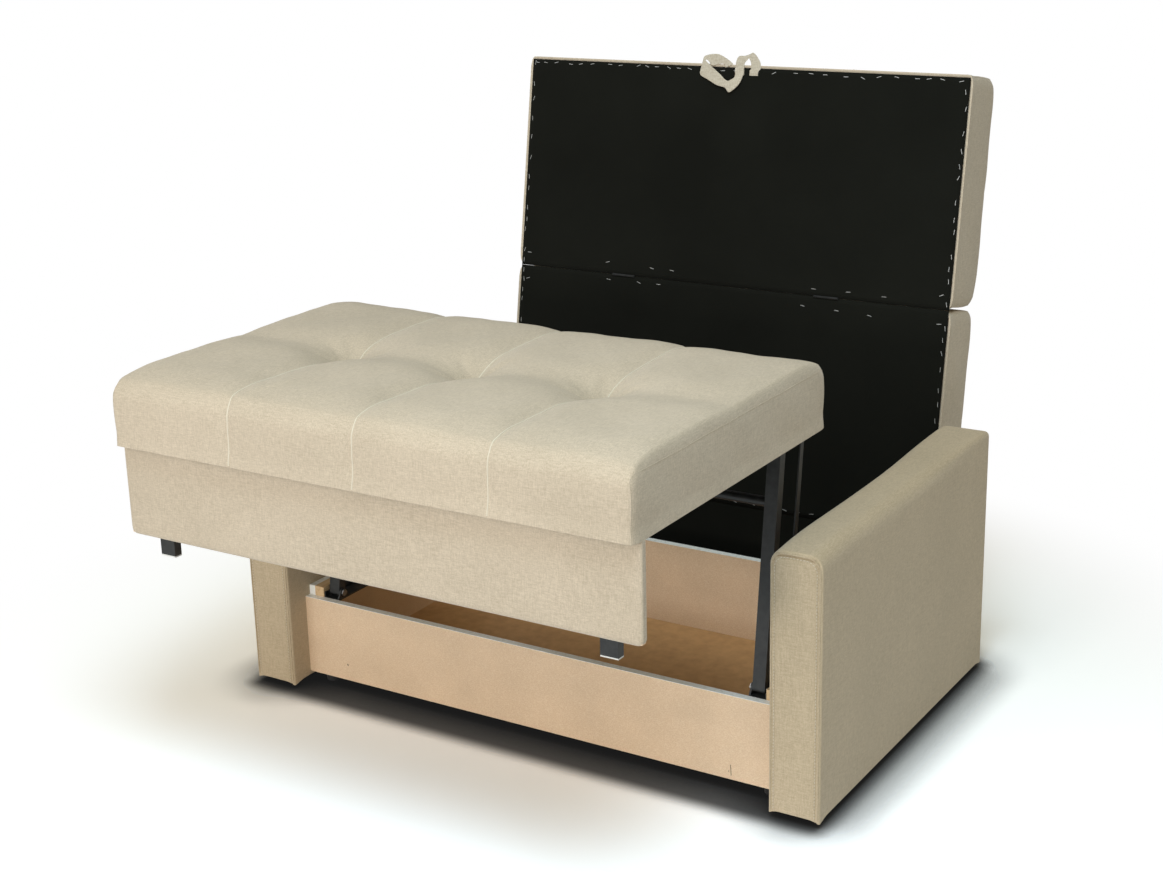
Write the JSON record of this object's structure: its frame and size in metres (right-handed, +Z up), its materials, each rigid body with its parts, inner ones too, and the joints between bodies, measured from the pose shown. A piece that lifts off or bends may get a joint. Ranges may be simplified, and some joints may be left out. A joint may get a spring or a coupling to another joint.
{
  "type": "sofa bed",
  "caption": "Two-seat storage sofa bed shown half opened: seat swung forward on tube arms, two-section back standing upright behind an open chipboard box between upholstered armrests.",
  "frame": {"origin": "on the floor, under the middle of the whole outline as it stands half opened", "axes": "+X to the right along the sofa, +Y to its back, +Z up"},
  "size_m": [1.55, 1.7994, 1.4391],
  "materials": {
    "cushion_fabric": "woven melange upholstery fabric, matt",
    "armrest_fabric": "woven melange upholstery fabric, matt",
    "underside_cloth": "black non-woven cloth, matt",
    "chipboard": "laminated chipboard, light tan, satin",
    "hardboard": "smooth brown hardboard, matt",
    "edge_band": "light grey melamine edging",
    "pine": "planed pine, bare",
    "plywood": "plywood, bare",
    "black_steel": "black powder coat, satin",
    "zinc_steel": "bright zinc plate",
    "black_plastic": "moulded, matt",
    "clear_plastic": "pale end plug, glossy",
    "webbing": "cream woven webbing"
  },
  "bodies": {
    "base": {"front_panel": "chipboard", "rear_panel": "chipboard", "side_board_left": "chipboard", "side_board_right": "chipboard", "floor_panel": "hardboard", "rear_stretcher": "pine", "edge_bands": "edge_band", "corner_blocks": "pine", "side_batten_left": "pine", "side_batten_right": "pine", "feet": "black_plastic", "foot_screws": "zinc_steel", "armrest_upholstery_left": "armrest_fabric", "armrest_upholstery_right": "armrest_fabric", "armrest_panels_left": "chipboard", "armrest_panels_right": "chipboard", "armrest_rails_left": "pine", "armrest_rails_right": "pine", "armrest_bolts": "zinc_steel", "arm_bracket_left": "black_steel", "arm_bracket_right": "black_steel", "arm_pivot_bolts": "zinc_steel", "link_pins_lower": "zinc_steel", "lower_frame": "plywood", "lower_deck": "hardboard", "lower_cushion": "cushion_fabric", "lower_underside_cloth": "underside_cloth", "hinge_plate_left": "black_steel", "hinge_plate_right": "black_steel", "pivot_plates": "black_steel", "rear_pins": "zinc_steel", "rear_cloth": "underside_cloth", "fold_leaves_lower": "black_steel", "fold_pins": "zinc_steel"},
    "arms": {"swing_arm_left": "black_steel", "swing_arm_right": "black_steel", "cross_tube": "black_steel"},
    "link_left": {"control_link_left": "black_steel"},
    "link_right": {"control_link_right": "black_steel"},
    "seat": {"seat_frame": "plywood", "seat_deck": "hardboard", "seat_cushion": "cushion_fabric", "seat_underside_cloth": "underside_cloth", "seat_bracket_left": "black_steel", "seat_bracket_right": "black_steel", "seat_pivot_bolts": "zinc_steel", "link_pins_upper": "zinc_steel", "apron_board": "chipboard", "apron_cover": "cushion_fabric", "seat_legs": "black_steel", "leg_plugs": "clear_plastic"},
    "upper_back": {"upper_frame": "plywood", "upper_deck": "hardboard", "upper_cushion": "cushion_fabric", "upper_underside_cloth": "underside_cloth", "fold_leaves_upper": "black_steel", "strap_fixings": "zinc_steel"},
    "strap": {"pull_strap": "webbing"}
  },
  "joints": [
    {"name": "seat_swing", "type": "hinge", "parent": "base", "child": "arms", "pos_m": [0, -0.28006, 0.2418], "axis": [1, 0, 0], "range_deg": [-82.3, 97.7]},
    {"name": "seat_level", "type": "hinge", "parent": "arms", "child": "seat", "pos_m": [0, -0.20758, 0.77792], "axis": [1, 0, 0], "range_deg": [-97.7, 82.3]},
    {"name": "link_left_swing", "type": "hinge", "parent": "base", "child": "link_left", "pos_m": [0, -0.19806, 0.2418], "axis": [1, 0, 0], "range_deg": [-82.3, 97.7]},
    {"name": "link_right_swing", "type": "hinge", "parent": "base", "child": "link_right", "pos_m": [0, -0.19806, 0.2418], "axis": [1, 0, 0], "range_deg": [-82.3, 97.7]},
    {"name": "back_fold", "type": "hinge", "parent": "base", "child": "upper_back", "pos_m": [0, 0.65072, 0.88092], "axis": [-1, 0, 0], "range_deg": [-180, 0]},
    {"name": "strap_hang", "type": "hinge", "parent": "upper_back", "child": "strap", "pos_m": [0, 0.74169, 1.43348], "axis": [-1, 0, 0], "range_deg": [0, 180]}
  ],
  "couplings": [
    {"joint": "seat_level", "follows": "seat_swing", "ratio": -1},
    {"joint": "link_left_swing", "follows": "seat_swing", "ratio": 1},
    {"joint": "link_right_swing", "follows": "seat_swing", "ratio": 1},
    {"joint": "strap_hang", "follows": "back_fold", "ratio": -1}
  ]
}
